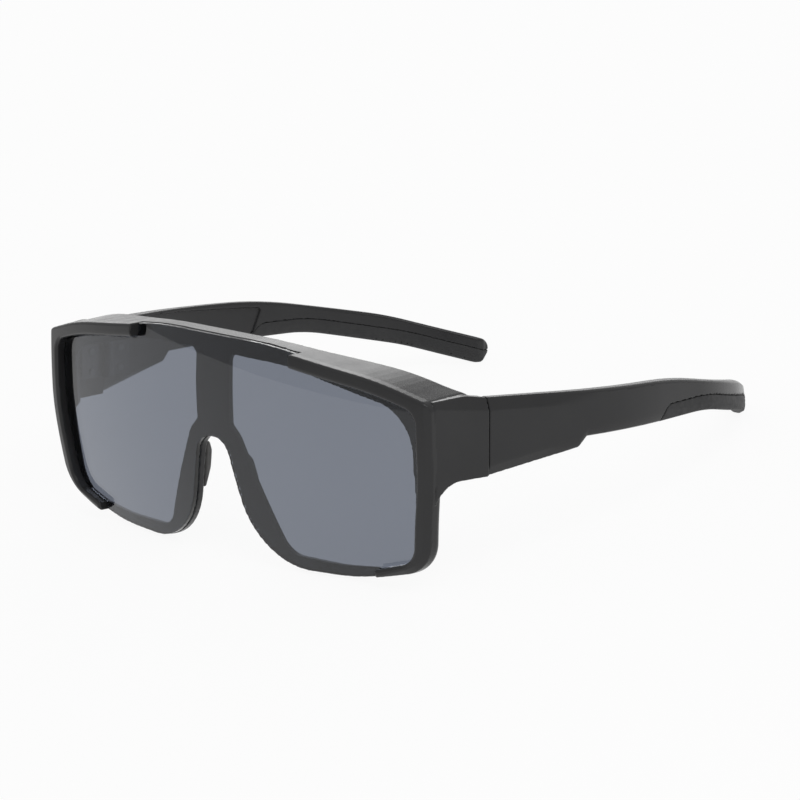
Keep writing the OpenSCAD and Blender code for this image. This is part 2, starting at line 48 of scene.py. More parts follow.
# Outline of the front
BROW_H = 27.9               # top of the brow above the nose apex
BROW_FLAT = 20.0            # half width of its level middle
BROW_R = 140.0
KNEE_X = 59.0               # where the brow turns down to the shoulder
KNEE_Z = 23.0
KNEE_R = 100.0
RIM_W = 75.0                # half width at the shoulder
SHOULDER_Z = 18.35
SHOULDER_R = 3.2
SIDE_OUT = 0.3              # bulge of the side under the shoulder
SIDE_MID = -2.0
SIDE_R = 70.0
CHEEK_IN = 3.4              # how far the lower outer corner draws in
CHEEK_R = 11.0
CHIN_H = 32.6               # depth of the rim below the nose apex
CHIN_X = 47.0
CHIN_RISE = 6.4             # rise of the lower edge at the cheek
CHIN_STEP = 0.8             # its rise at the chin
NOSE_W = 5.0                # half width of the nose opening at its apex
NOSE_R = 5.6
NOSE_BASE = 13.6            # half width of the nose opening at its foot
NOSE_DROP = 0.4
FLARE_R = 22.0

# The brow rises towards the rear
BROW_RISE = 0.05            # rise per millimetre of depth
RISE_X = (10.0, 50.0)       # from the middle outwards
RISE_Z = (6.0, 14.0)
RISE_DEPTH = 16.0

# Curves of the lens
FACE_R = 281.0              # from side to side
BULGE_R = 190.0             # from top to bottom
BULGE_Z = 14.0              # height of its foremost line
APEX_Y = -0.8

# Lens, and the rim plate behind it
LENS_T = 1.4
LENS_ROUND = 0.15
LENS_GAP = 0.15             # between the lens and the plate, and from the lens to the outline
LIP_GAP = 0.03              # between the lens and the lips
POCKET_GAP = 0.05
PLATE_T = 1.8
REAR_CRISP = 0.3            # radius of the plate's rear edge in the middle
REAR_R = 2.4                # its radius along the sides
REAR_X = (50.0, 66.0)
REAR_TOP = SHOULDER_Z - 3
REAR_Z = (REAR_TOP, REAR_TOP - 6)
REAR_FLAT = 1.05            # how much thinner the plate is at the sides
REAR_FLAT_X = (30.0, RIM_W)

# Windows of the plate, and the rim that is left round them
BAR_W = 12.8                # bar between the windows
BAR_TOP_R = 2.2
BAR_FOOT = 4.2
BAR_FOOT_R = 1.0
WINDOW_KNEE_X = 28.0
WINDOW_KNEE_R = 60.0
WINDOW_FALL = 0.6           # fall of the upper edge from the bar to the knee
WINDOW_SHOULDER_R = 13.0
WINDOW_MID = -6.0
WINDOW_CHEEK_R = 8.5
WINDOW_NOSE_Z = 1.1
WINDOW_NOSE_R = 7.0
WINDOW_ROUND = 0.45
RIM_TOP = 4.7
RIM_SHOULDER = 3.7
RIM_SIDES = (8.3, 7.8, 9.3)    # beside the shoulder, the middle and the cheek
RIM_LOWS = (6.1, 3.7, 4.0)     # under the cheek, the chin and the nose side
RIM_CHIN = 5.0
RIM_BASE = 9.6
RIM_NOSE = 4.4

# Lips round the outer ends of the lens
LIP_W = 3.7                 # width along the brow
LIP_KNEE = 3.8              # width at the brow's knee
LIP_SHOULDER = 2.7          # width under the shoulder
LIP_SHOULDER_R = 4.5
LIP_SIDE = 4.4              # width along the side
LIP_CHEEK = 1.8             # width over the cheek
LIP_CHEEK_R = 7.0
LIP_LOW = 3.9               # width along the lower edge
LIP_LOW_X = 54.6            # where the lower lip ends
LIP_LOW_SLANT = 1.0
LIP_TOP_X = 31.0            # where the upper lip ends
LIP_SPLIT_Z = -5.0          # height that parts the two ends
LIP_RISE = 2.8              # height in front of the lens
LIP_CRISP = 0.8             # radius of the outer edge
LIP_ROUND = 1.2             # radius of the inner edge
LIP_RIDGE = 0.1             # radius where the two meet
LIP_END_R = 0.3
LIP_BEVEL_X = (RIM_W - 24, RIM_W - 8)
LIP_BEVEL_H = (0.1, 1.5)
LIP_BEVEL_D = (0.1, 1.0)
LIP_BEVEL_R = 0.12
LIP_SIDE_FADE = (8.0, 0.0)
LIP_SIDE_OUT = 0.15

# Brow shelf
SHELF_T = 3.2
SHELF_D = 7.0               # depth in the middle
SHELF_FALL = 0.3
SHELF_FLAT = 23.7           # half width of its nearly straight middle
SHELF_FLAT_R = 90.0
SHELF_BENDS = ((56.0, 9.3, 60.0), (71.5, 5.2, 30.0))   # x, distance to the hinge line, radius
SHELF_PAST = 2.0            # how far it runs on inside the end block
SHELF_OVER = 0.5
SHELF_OUT = 6.0
SHELF_SLANT = 1.9
SHELF_REAR_R = 0.7
SHELF_LOW_R = 0.9
SHELF_FILLET = 0.8

# End blocks
HINGE_Y = 25.0
BLOCK_FLARE = 3.1           # how far the blocks flare out to the hinge line
BLOCK_T = 4.8
BLOCK_H = 20.6
BLOCK_LOW = 2.4             # lower edge below the nose apex
BLOCK_FILLET = 8.0
BLOCK_PROUD = 0.9           # in front of the lens
BLOCK_PROUD_Z = 5.0
BLOCK_EDGE = 0.05
BLOCK_ROOT = 5.2            # width of its root in the rim
BLOCK_FOOT = 1.0
BLOCK_FOOT_D = 0.7
BLOCK_TOE = 0.3
BLOCK_CLIP_Z = -1.0
BLOCK_BEND = 1.7
BLOCK_WEB = 2.2
BLOCK_WEB_R = 2.0
BLOCK_SEAT = 1.6            # in front of the hinge leaf
BLOCK_SEAT_R = 1.5
BLOCK_BACK = 2.0
BLOCK_STEP = 0.6
BLOCK_TOP = 0.4
BLOCK_TOP_BEND = (4.0, 0.9, 12.0)    # behind the rear, above the shoulder, radius
BLOCK_SLOPE = 0.12          # fall of the bevel line towards the hinge
BLOCK_EDGE_R = 0.35
BEVEL_H = 3.3               # bevel along the top of the blocks and temples
BEVEL_D = 1.1
BEVEL_R = 0.2

# Hinges
KNUCKLE_R = 1.5
KNUCKLE_GAP = 0.25
LEAF_L = 6.8
HINGE_Z = 7.5
HINGE_H = 9.5
SPLIT = 0.2                 # gap between the end block and the temple

# Nose pads
PAD_L = 14.5
PAD_D = 3.5
PAD_T = 1.7
PAD_SPLAY = 20.0            # degrees
PAD_GAP = 0.03
PAD_TOP = -3.0
PAD_SINK = 0.6              # share of the thickness
PAD_CROWN = 0.22            # how much thinner each face is at the two ends
PAD_ROUND = 0.6
PAD_CORNERS = (             # behind the rim, below the top, radius
    (0.2, 0.0, 0.5),
    (2.0, 0.2, 1.5),
    (PAD_D, 3.4, 2.5),
    (PAD_D, 0.6 * PAD_L, 3.0),
    (1.8, PAD_L - 0.8, 1.2),
    (0.9, PAD_L, 0.5))

# Temples from above
TEMPLE_L = 129.0
TEMPLE_T = 4.0
TEMPLE_BOW = 8.4            # outward bow behind the hinge
BOW_AT = 0.31
BOW_R = 116.8
TURN_AT = 0.78              # share of the length, as BOW_AT
TURN_R = 73.0
TIP_IN = 24.7               # how far the tip turns in
TIP_L = 4.4
TIP_BEND_R = 2.0
TIP_SLANT = 0.4
ROOT_IN = 0.4
LINE_LEAD = 2.0             # how far the line runs on before the hinge
LINE_TAIL = 1.0             # how far it is read behind the tip

# Temples from the side, with bends as share of the length, drop and radius
TOP_MID = (0.5, 3.0, 146.0)
TOP_BEND = (0.8, 10.6, 73.0)
TOP_TIP_R = 20.0
ARM_H = 10.4                # height behind the step
ARM_DROP = 3.3
STEP_Y = 29.0               # step in the lower edge
STEP_H = 2.6
STEP_HALF = 1.3
STEP_R = 1.0
LOW_MID = (0.62, 0.2, 60.0)
LOW_BEND = (0.84, 6.2, 60.0)
TIP_H = 7.9
TIP_DROP = 5.0
TIP_SAG = 0.3
TIP_TOP_R = 3.2
TIP_TOP_LEAD = 1.0          # bare stretch in front of the tip's upper corner
TIP_LOW_R = 1.8
TIP_LOW_LEAD = 3.0          # bare stretch in front of its lower corner

# Edges of the temples, crisp at the hinge and softer behind
INNER_ROUND = 0.9
OUTER_ROUND = 0.35
HIGH_FADE = (14.0, 44.0)
HIGH_BEVEL_H = (BEVEL_H, 0.65 * BEVEL_H)
HIGH_BEVEL_D = (BEVEL_D, 0.5 * BEVEL_D)
HIGH_ROUND = (0.2, 1.8)
LOW_FADE = (STEP_Y - 12, STEP_Y)
LOW_BEVEL_H = (2.9, 1.16)
LOW_BEVEL_D = (1.2, 0.6)
LOW_ROUND = (0.2, 0.7)
INNER_BEVEL = (1.6, 1.0)    # height and width
INNER_BEVEL_R = 0.6

# Recess in the inner face of a temple, and the boss that carries the hinge leaf
RECESS_D = 0.7
RECESS_Y = 16.0             # front end, behind the hinge
RECESS_END = 84.5           # rear end, which leans
RECESS_MID = 2.0
RECESS_LEAN = 0.42
RECESS_LEAN_COS = 0.92
RECESS_TOP = (1.0, 1.7)     # below the upper edge
RECESS_FRONT_R = 1.5
RECESS_CORNER_R = 1.0
RECESS_EDGE_R = 0.25
BOSS_T = 2.4
BOSS_RIM = 0.6              # round the leaf
BOSS_FILLET = 0.25

# Ear grips, skins let into the lower rear half of the temples
GRIP_Y = 57.6               # front end, behind the hinge
GRIP_H = 4.2
GRIP_T = 1.1
GRIP_GAP = 0.04
GRIP_PROUD = 0.03           # beyond the faces of the temple
GRIP_SKEW = 0.6
GRIP_LEAN = 0.9             # slant of the front end
GRIP_LEAN_COS = 0.74
GRIP_CORNER_R = 1.4
GRIP_EDGE_R = 0.08
GRIP_INNER_GAP = 0.1
GRIP_INNER_R = 0.2
SEAT_EDGE_R = 0.06
SEAT_FILLET = 0.1

# Fineness of the arcs and meshes
ARC_SAG = 0.012
ARC_TURN = 0.21             # radians
LINE_SAG = 0.001
STEP = 0.45                 # cell of a mesh
PAD_STEP = 0.25
GRIP_STEP = 0.35
PROBE = 0.04                # for the slope of a field
SLOPE_REACH = 1.5           # for the slope of a temple's line
SETTLE_ROUNDS = 3
SETTLE_REACH = 0.6          # share of a cell
SLOPE_MIN = 0.2
TINY = 1e-9
FAR = 90.0                  # beyond the glasses on every side

# Boxes that hold the pieces, as lowest and highest corner
FRONT_BOX = ((-80, -4, -34), (80, 26, 29))
LENS_BOX = ((-73, -3, -34), (73, 14, 29))
PAD_BOX = ((4, 2, -20), (14, 14, -2))
TEMPLE_BOX = ((46, 25, -11), (86, 157, 20))
GRIP_BOX = ((46, 80, -11), (86, 157, 12))

# Camera, fitted to the photograph as worn, in degrees and millimetres
CAM_AZ = 46.0
CAM_EL = 11.4
CAM_DIST = 1190.0
CAM_RIGHT = 49.3
CAM_UP = 9.65
CAM_LENS = 202.5
CAM_SENSOR = 36.0
CAM_CLIP = (0.05, 20.0)     # metres

# Floor and lamps round the standing glasses, in metres
FLOOR_HALF = 3.0
LAMP_TARGET = (0, 0, 0.03)
KEY_PLACE = (0.9, -0.1, 1.2)
REAR_PLACE = (-1.1, 1.1, 0.5)

# Places worked out from the sizes
PLATE_W = LENS_T + LENS_GAP
REAR_W = PLATE_W + PLATE_T
CHEEK_Z = CHIN_RISE - CHIN_H
CHIN_Z = CHIN_STEP - CHIN_H
BULGE_BACK = BULGE_R - math.sqrt(BULGE_R ** 2 - BULGE_Z ** 2)
BLOCK_X = RIM_W + BLOCK_FLARE
INNER_X = BLOCK_X - BLOCK_T
EDGE_X = RIM_W + BLOCK_EDGE
ROOT_X = EDGE_X - BLOCK_ROOT
PIN_Y = HINGE_Y + SPLIT / 2
SWING_R = KNUCKLE_R + KNUCKLE_GAP
LEAF_Y = PIN_Y - SWING_R - LEAF_L
ROOT_LOW = -BLOCK_LOW
ROOT_TOP = BLOCK_H - BLOCK_LOW
NOSE_TAN = (NOSE_BASE - NOSE_W) / CHIN_H
TEMPLE_Y = HINGE_Y + SPLIT
TIP_END = TEMPLE_Y + TEMPLE_L
TIP_Y = TIP_END - TIP_L
TIP_LOW = ROOT_LOW - TIP_DROP
TIP_TOP = TIP_LOW + TIP_H
ARM_Z = ROOT_TOP - ARM_DROP - ARM_H

# Standing pose, read from the left hinge of the frame
HINGE = next(j for j in frame["joints"] if j["name"] == "left_fold")
TILT = math.atan2(HINGE["axis"][1], HINGE["axis"][2])
SIN = math.sin(TILT)
COS = math.cos(TILT)
BACK = PIN_Y * COS + HINGE_Z * SIN - HINGE["pos_m"][1] * 1000
LIFT = HINGE["pos_m"][2] * 1000 + PIN_Y * SIN - HINGE_Z * COS


def turned(v):
    """Directions as worn, turned into the standing pose."""
    v = np.asarray(v, float)
    y = v[..., 1] * COS + v[..., 2] * SIN
    z = -v[..., 1] * SIN + v[..., 2] * COS
    return np.stack([v[..., 0], y, z], -1)


def standing(v):
    """Points as worn in millimetres, moved into the standing pose in metres."""
    return (turned(v) + np.array([0, -BACK, LIFT])) / 1000


# Helpers for outlines and fields

def arc(before, corner, after, radius, sag):
    """Points of the arc that rounds a corner, true to within sag."""
    u = np.array(before) - corner
    v = np.array(after) - corner
    u = u / np.linalg.norm(u)
    v = v / np.linalg.norm(v)
    half = math.acos(np.clip(u @ v, -1, 1)) / 2
    mid = corner + (u + v) / np.linalg.norm(u + v) * radius / math.sin(half)
    first = corner + u * radius / math.tan(half) - mid
    last = corner + v * radius / math.tan(half) - mid
    start = math.atan2(first[1], first[0])
    turn = math.pi - 2 * half
    way = np.sign(first[0] * last[1] - first[1] * last[0])
    count = max(2, math.ceil(turn / min(ARC_TURN, math.sqrt(8 * sag / radius))))
    angles = [start + way * turn * k / count for k in range(count + 1)]
    return [(mid[0] + radius * math.cos(t), mid[1] + radius * math.sin(t)) for t in angles]


def rounded(corners, closed=True, sag=ARC_SAG):
    """Outline through corners given as (x, y) or (x, y, radius)."""
    n = len(corners)
    points = []
    for i, corner in enumerate(corners):
        sharp = len(corner) < 3 or corner[2] == 0
        if sharp or (not closed and i in (0, n - 1)):
            points.append(corner[:2])
            continue
        place = np.array(corner[:2], float)
        before = corners[i - 1][:2]
        after = corners[(i + 1) % n][:2]
        points += arc(before, place, after, corner[2], sag)
    return np.array([tuple(p) for p in points], float)


def inside_distance(loop, u, v):
    """Signed distance to a closed outline, negative inside."""
    u, v = np.broadcast_arrays(np.asarray(u, float), np.asarray(v, float))
    best = np.full(u.shape, np.inf)
    odd = np.zeros(u.shape, bool)
    for a, b in zip(loop, np.roll(loop, -1, 0)):
        edge = b - a
        length = edge @ edge
        if length < TINY ** 2:
            continue
        pu = u - a[0]
        pv = v - a[1]
        t = np.clip((pu * edge[0] + pv * edge[1]) / length, 0, 1)
        best = np.minimum(best, (pu - t * edge[0]) ** 2 + (pv - t * edge[1]) ** 2)
        if a[1] != b[1]:
            odd ^= ((a[1] > v) != (b[1] > v)) & (pu < edge[0] * pv / edge[1])
    return np.where(odd, -1, 1) * np.sqrt(best)


def rmax(a, b, r):
    """Both a and b, their common edge rounded by r."""
    p = np.maximum(a + r, 0)
    q = np.maximum(b + r, 0)
    return np.minimum(np.maximum(a, b), -r) + np.sqrt(p * p + q * q)


def rmin(a, b, r):
    """Either a or b, the hollow edge between them filled by r."""
    return -rmax(-a, -b, r)


def bevelled(p, q, h, d):
    """Plane that cuts the corner of the faces p and q, by h along p's face and d along q's."""
    return (p * h + q * d + h * d) / np.sqrt(h * h + d * d)


def ramp(v, start, end):
    """Smooth step from 0 at start to 1 at end."""
    t = np.clip((v - start) / (end - start), 0, 1)
    return t * t * (3 - 2 * t)


def faded(pair, share):
    """Size between the two of a pair."""
    return pair[0] + (pair[1] - pair[0]) * share


def along(line, y):
    """Height of an open line at y."""
    return np.interp(y, line[:, 0], line[:, 1])


# Outlines of the front

HALF = rounded([
    (0, BROW_H),
    (BROW_FLAT, BROW_H, BROW_R),
    (KNEE_X, KNEE_Z, KNEE_R),
    (RIM_W, SHOULDER_Z, SHOULDER_R),
    (RIM_W + SIDE_OUT, SIDE_MID, SIDE_R),
    (RIM_W - CHEEK_IN, CHEEK_Z, CHEEK_R),
    (CHIN_X, CHIN_Z, SIDE_R),
    (NOSE_BASE, -CHIN_H - NOSE_DROP, FLARE_R),
    (NOSE_W, 0, NOSE_R),
    (0, 0)], closed=False)
OUTLINE = np.vstack([[[-FAR, BROW_H]], HALF, [[-FAR, 0]]])

WINDOW = rounded([
    (BAR_W / 2, BROW_H - RIM_TOP, BAR_TOP_R),
    (WINDOW_KNEE_X, BROW_H - RIM_TOP - WINDOW_FALL, WINDOW_KNEE_R),
    (RIM_W - RIM_SIDES[0], SHOULDER_Z - RIM_SHOULDER, WINDOW_SHOULDER_R),
    (RIM_W - RIM_SIDES[1], WINDOW_MID, SIDE_R),
    (RIM_W - RIM_SIDES[2], RIM_LOWS[0] - CHIN_H, WINDOW_CHEEK_R),
    (CHIN_X - RIM_CHIN, RIM_LOWS[1] - CHIN_H, SIDE_R),
    (NOSE_BASE + RIM_BASE, RIM_LOWS[2] - CHIN_H, WINDOW_NOSE_R),
    (NOSE_W + RIM_NOSE, WINDOW_NOSE_Z, WINDOW_NOSE_R),
    (BAR_W / 2, BAR_FOOT, BAR_FOOT_R)])

# Inner edge of the lips, and the zone in which they stand
LIP_LOOP = rounded([
    (-FAR, BROW_H - LIP_W),
    (BROW_FLAT, BROW_H - LIP_W, BROW_R),
    (KNEE_X, KNEE_Z - LIP_KNEE, KNEE_R),
    (RIM_W - LIP_SIDE, SHOULDER_Z - LIP_SHOULDER, LIP_SHOULDER_R),
    (RIM_W + SIDE_OUT - LIP_SIDE, SIDE_MID, SIDE_R),
    (RIM_W - CHEEK_IN - LIP_SIDE, CHEEK_Z + LIP_CHEEK, LIP_CHEEK_R),
    (LIP_LOW_X, CHIN_Z + LIP_LOW),
    (LIP_LOW_X - LIP_LOW_SLANT, -FAR),
    (-FAR, -FAR)])
LIP_ENDS = np.array([
    (LIP_TOP_X, FAR),
    (FAR, FAR),
    (FAR, -FAR),
    (LIP_LOW_X, -FAR),
    (LIP_LOW_X, LIP_SPLIT_Z),
    (LIP_TOP_X, LIP_SPLIT_Z)])

# Sharp side line of the lips from the cheek up to the shoulder
LIP_LINE = np.array([
    (CHEEK_Z, RIM_W - CHEEK_IN),
    (SIDE_MID, RIM_W + LIP_SIDE_OUT),
    (SHOULDER_Z, RIM_W)])

# Brow shelf from above, and the space under it from ahead
SHELF_REAR = rounded([
    (-FAR, SHELF_D),
    (SHELF_FLAT, SHELF_D - SHELF_FALL, SHELF_FLAT_R),
    *[(x, HINGE_Y - gap, radius) for x, gap, radius in SHELF_BENDS],
    (BLOCK_X + SHELF_PAST, HINGE_Y + SHELF_OVER)], closed=False)
SHELF = np.vstack([SHELF_REAR, [[BLOCK_X + SHELF_PAST, -FAR]], [[-FAR, -FAR]]])
SHELF_LOW = rounded([
    (-FAR, BROW_H - SHELF_T),
    (BROW_FLAT, BROW_H - SHELF_T, BROW_R),
    (KNEE_X, KNEE_Z - SHELF_T, KNEE_R),
    (RIM_W + SHELF_OUT, SHOULDER_Z - SHELF_T - SHELF_SLANT)], closed=False)
UNDER = np.vstack([SHELF_LOW, [[RIM_W + SHELF_OUT, -FAR]], [[-FAR, -FAR]]])


def face_y(x, z, depth=0):
    """Place of the lens's front surface, or of a surface behind it by depth."""
    rise = np.sqrt((BULGE_R - depth) ** 2 - (z - BULGE_Z) ** 2)
    return FACE_R - np.sqrt((FACE_R - BULGE_R + rise) ** 2 - x * x) - BULGE_BACK + APEX_Y


def lens_depth(x, y, z):
    """Depth behind the front surface of the lens."""
    rho = np.sqrt(x * x + (y - APEX_Y - FACE_R + BULGE_BACK) ** 2)
    return BULGE_R - np.sqrt((rho - FACE_R + BULGE_R) ** 2 + (z - BULGE_Z) ** 2)


# End block from above and from the side
BLOCK_FOOT_Z = -BLOCK_LOW - BLOCK_FILLET - BLOCK_FOOT
BLOCK_FRONT = float(face_y(RIM_W, BLOCK_PROUD_Z, -BLOCK_PROUD))
BLOCK_REAR = float(face_y(RIM_W, BLOCK_FOOT_Z, REAR_W - REAR_FLAT)) + BLOCK_BEND
BLOCK_PLAN = rounded([
    (EDGE_X, BLOCK_FRONT),
    (BLOCK_X, HINGE_Y),
    (INNER_X, HINGE_Y),
    (INNER_X, LEAF_Y - BLOCK_SEAT, BLOCK_SEAT_R),
    (INNER_X - BLOCK_WEB, BLOCK_REAR + BLOCK_STEP, BLOCK_WEB_R),
    (ROOT_X, BLOCK_REAR - BLOCK_BACK),
    (ROOT_X, BLOCK_FRONT)])
BLOCK_SIDE = rounded([
    (BLOCK_FRONT, SHOULDER_Z + BLOCK_TOP),
    (BLOCK_FRONT, BLOCK_FOOT_Z),
    (BLOCK_FRONT + BLOCK_FOOT_D, BLOCK_FOOT_Z),
    (BLOCK_FRONT + BLOCK_FOOT_D, -BLOCK_LOW - BLOCK_TOE, BLOCK_FILLET),
    (HINGE_Y, -BLOCK_LOW),
    (HINGE_Y, ROOT_TOP),
    (BLOCK_REAR + BLOCK_TOP_BEND[0], SHOULDER_Z + BLOCK_TOP_BEND[1], BLOCK_TOP_BEND[2])])


# Fields of the front, negative inside the piece

def outline(ax, z, depth):
    """Distance to the outline of the front, whose brow rises towards the rear."""
    rise = BROW_RISE * ramp(ax, *RISE_X) * ramp(z, *RISE_Z)
    return inside_distance(OUTLINE, ax, z - rise * np.clip(depth, 0, RISE_DEPTH))


def lip_zone(ax, z):
    """Distances to the inner edge and to the ends of the lips."""
    return -inside_distance(LIP_LOOP, ax, z), inside_distance(LIP_ENDS, ax, z)


def rear_face(ax, z, depth, edge):
    """Rear face of the rim, and the same with its edge rounded along the sides."""
    soft = faded((REAR_CRISP, REAR_R), ramp(ax, *REAR_X) * ramp(z, *REAR_Z))
    rear = depth - REAR_W + REAR_FLAT * ramp(ax, *REAR_FLAT_X)
    return rear, rmax(edge, rear, soft)


def rim_field(ax, y, z, depth, edge, shell):
    """Rim plate with its windows, and the brow shelf over it."""
    plate = rmax(shell, -inside_distance(WINDOW, ax, z), WINDOW_ROUND)
    shelf = rmax(edge, inside_distance(SHELF, ax, y), SHELF_REAR_R)
    shelf = rmax(shelf, -inside_distance(UNDER, ax, z), SHELF_LOW_R)
    rim = np.maximum(edge, rmin(plate, shelf, SHELF_FILLET))
    return np.maximum(rim, PLATE_W - depth)


def lip_field(ax, z, depth, edge, rear, shell):
    """Lips with a flat front and a round inner edge, bevelled along the side."""
    face = -LIP_RISE - depth
    ring, ends = lip_zone(ax, z)
    crisp = rmax(edge, face, LIP_CRISP)
    lip = rmax(crisp, rmax(ring, face, LIP_ROUND), LIP_RIDGE)
    side = ax - along(LIP_LINE, z)
    side = side + (edge - side) * ramp(z, *LIP_SIDE_FADE)
    grow = ramp(ax, *LIP_BEVEL_X)
    bevel = bevelled(face, side, faded(LIP_BEVEL_H, grow), faded(LIP_BEVEL_D, grow))
    lip = rmax(lip, bevel, LIP_BEVEL_R)
    return np.maximum(rmax(lip, ends, LIP_END_R), np.where(z > REAR_TOP, rear, shell))


def block_field(ax, y, z, depth, edge):
    """End block, its outer face flaring to the hinge and bevelled along the top."""
    plan = inside_distance(BLOCK_PLAN, ax, y)
    block = rmax(plan, inside_distance(BLOCK_SIDE, y, z), BLOCK_EDGE_R)
    block = np.maximum(block, -BLOCK_PROUD - depth)
    flare = ax - np.interp(y, (BLOCK_FRONT, HINGE_Y), (EDGE_X, BLOCK_X))
    low = np.maximum(block, edge + flare - ax + RIM_W)
    block = np.where(z < BLOCK_CLIP_Z, low, block)
    top = z - ROOT_TOP - (HINGE_Y - y) * BLOCK_SLOPE
    return rmax(block, bevelled(flare, top, BEVEL_H, BEVEL_D), BEVEL_R)


def front_field(x, y, z):
    """Rim, lips and end blocks in one, with the pocket of the lens."""
    ax = np.abs(x)
    depth = lens_depth(x, y, z)
    edge = outline(ax, z, depth)
    rear, shell = rear_face(ax, z, depth, edge)
    rim = rim_field(ax, y, z, depth, edge, shell)
    lip = lip_field(ax, z, depth, edge, rear, shell)
    block = block_field(ax, y, z, depth, edge)
    solid = np.minimum(np.minimum(rim, lip), block)
    pocket = np.maximum(edge, -np.maximum(*lip_zone(ax, z))) - POCKET_GAP
    return np.maximum(solid, -np.maximum(pocket, depth - PLATE_W))


def lens_field(x, y, z):
    """Shield lens, let in between the lips."""
    ax = np.abs(x)
    depth = lens_depth(x, y, z)
    edge = outline(ax, z, depth) + LENS_GAP
    edge = np.maximum(edge, LIP_GAP - np.maximum(*lip_zone(ax, z)))
    return rmax(edge, np.maximum(-depth, depth - LENS_T), LENS_ROUND)


# Outlines of the temples

TEMPLE_LINE = rounded([
    (TEMPLE_Y - LINE_LEAD, BLOCK_X - ROOT_IN),
    (TEMPLE_Y, BLOCK_X),
    (TEMPLE_Y + BOW_AT * TEMPLE_L, BLOCK_X + TEMPLE_BOW, BOW_R),
    (TEMPLE_Y + TURN_AT * TEMPLE_L, BLOCK_X, TURN_R),
    (TIP_Y, BLOCK_X - TIP_IN, TIP_BEND_R),
    (TIP_Y + 2 * TIP_L, BLOCK_X - TIP_IN - TIP_SLANT * TIP_L)], closed=False, sag=LINE_SAG)


def bend(level, place):
    """Corner of a temple's edge: share of its length, drop below a level, and radius."""
    share, drop, radius = place
    return (TEMPLE_Y + share * TEMPLE_L, level - drop, radius)


TOP_LINE = rounded([
    (TEMPLE_Y, ROOT_TOP),
    bend(ROOT_TOP, TOP_MID),
    bend(ROOT_TOP, TOP_BEND),
    (TIP_Y, TIP_TOP, TOP_TIP_R),
    (TIP_END, TIP_TOP - TIP_SLANT * TIP_L)], closed=False)
LOW_LINE = rounded([
    (TEMPLE_Y, ROOT_LOW),
    (TEMPLE_Y + STEP_Y - STEP_HALF, ARM_Z - STEP_H, STEP_R),
    (TEMPLE_Y + STEP_Y + STEP_HALF, ARM_Z, STEP_R),
    bend(ARM_Z, LOW_MID),
    bend(ARM_Z, LOW_BEND),
    (TIP_Y, TIP_LOW),
    (TIP_END, TIP_LOW - TIP_SAG)], closed=False)


def side_loop():
    """Outline of a temple from the side, its tip slanting and rounded."""
    top = [tuple(p) for p in TOP_LINE if p[0] < TIP_Y - TIP_TOP_LEAD]
    low = [tuple(p) for p in LOW_LINE if p[0] < TIP_Y - TIP_LOW_LEAD]
    end = [(TIP_END, along(TOP_LINE, TIP_END), TIP_TOP_R), (TIP_Y, TIP_LOW, TIP_LOW_R)]
    return rounded(top + end + low[::-1])


ARM_SIDE = side_loop()


# Fields of the temples and grips, on the wearer's left

def arm_faces(x, y, z):
    """Distances to the outer face, upper edge, lower edge and side outline of a temple."""
    place = np.clip(y, TEMPLE_Y, TIP_END + LINE_TAIL)
    ahead = along(TEMPLE_LINE, place + SLOPE_REACH)
    slope = (ahead - along(TEMPLE_LINE, place - SLOPE_REACH)) / (2 * SLOPE_REACH)
    outer = (x - along(TEMPLE_LINE, place)) / np.sqrt(1 + slope * slope)
    top = z - along(TOP_LINE, place)
    low = along(LOW_LINE, place) - z
    return outer, top, low, inside_distance(ARM_SIDE, y, z)


def temple_shape(x, y, z):
    """Temple without recess and boss, with distances to its outer face and to all main faces."""
    outer, top, low, side = arm_faces(x, y, z)
    inner = -outer - TEMPLE_T
    shape = rmax(rmax(side, inner, INNER_ROUND), outer, OUTER_ROUND)
    fade = ramp(y - TEMPLE_Y, *HIGH_FADE)
    high = bevelled(outer, top, faded(HIGH_BEVEL_H, fade), faded(HIGH_BEVEL_D, fade))
    shape = rmax(shape, high, faded(HIGH_ROUND, fade))
    fade = ramp(y - TEMPLE_Y, *LOW_FADE)
    under = bevelled(outer, low, faded(LOW_BEVEL_H, fade), faded(LOW_BEVEL_D, fade))
    shape = rmax(shape, under, faded(LOW_ROUND, fade))
    shape = rmax(shape, bevelled(inner, low, *INNER_BEVEL), INNER_BEVEL_R)
    return shape, outer, np.maximum(np.maximum(outer, inner), side)


def grip_zone(y, z, outer):
    """Zone under the ear grip's upper edge and behind its slanting front end."""
    height = z - along(LOW_LINE, np.clip(y, TEMPLE_Y, TIP_END))
    skew = GRIP_SKEW * np.clip(-outer, 0, TEMPLE_T)
    front = TEMPLE_Y + GRIP_Y + GRIP_LEAN * height + skew - y
    return rmax(height - GRIP_H, front * GRIP_LEAN_COS, GRIP_CORNER_R)


def recess_zone(y, z):
    """Zone of the recess, between the hinge and a leaning edge in front of the grip."""
    place = np.clip(y, TEMPLE_Y, TIP_END)
    grow = ramp(place, TEMPLE_Y + STEP_Y, TEMPLE_Y + GRIP_Y)
    top = z - along(TOP_LINE, place) + faded(RECESS_TOP, grow)
    rear = (y - RECESS_END - (z - RECESS_MID) * RECESS_LEAN) * RECESS_LEAN_COS
    length = rmax(rear, TEMPLE_Y + RECESS_Y - y, RECESS_FRONT_R)
    return rmax(top, length, RECESS_CORNER_R)


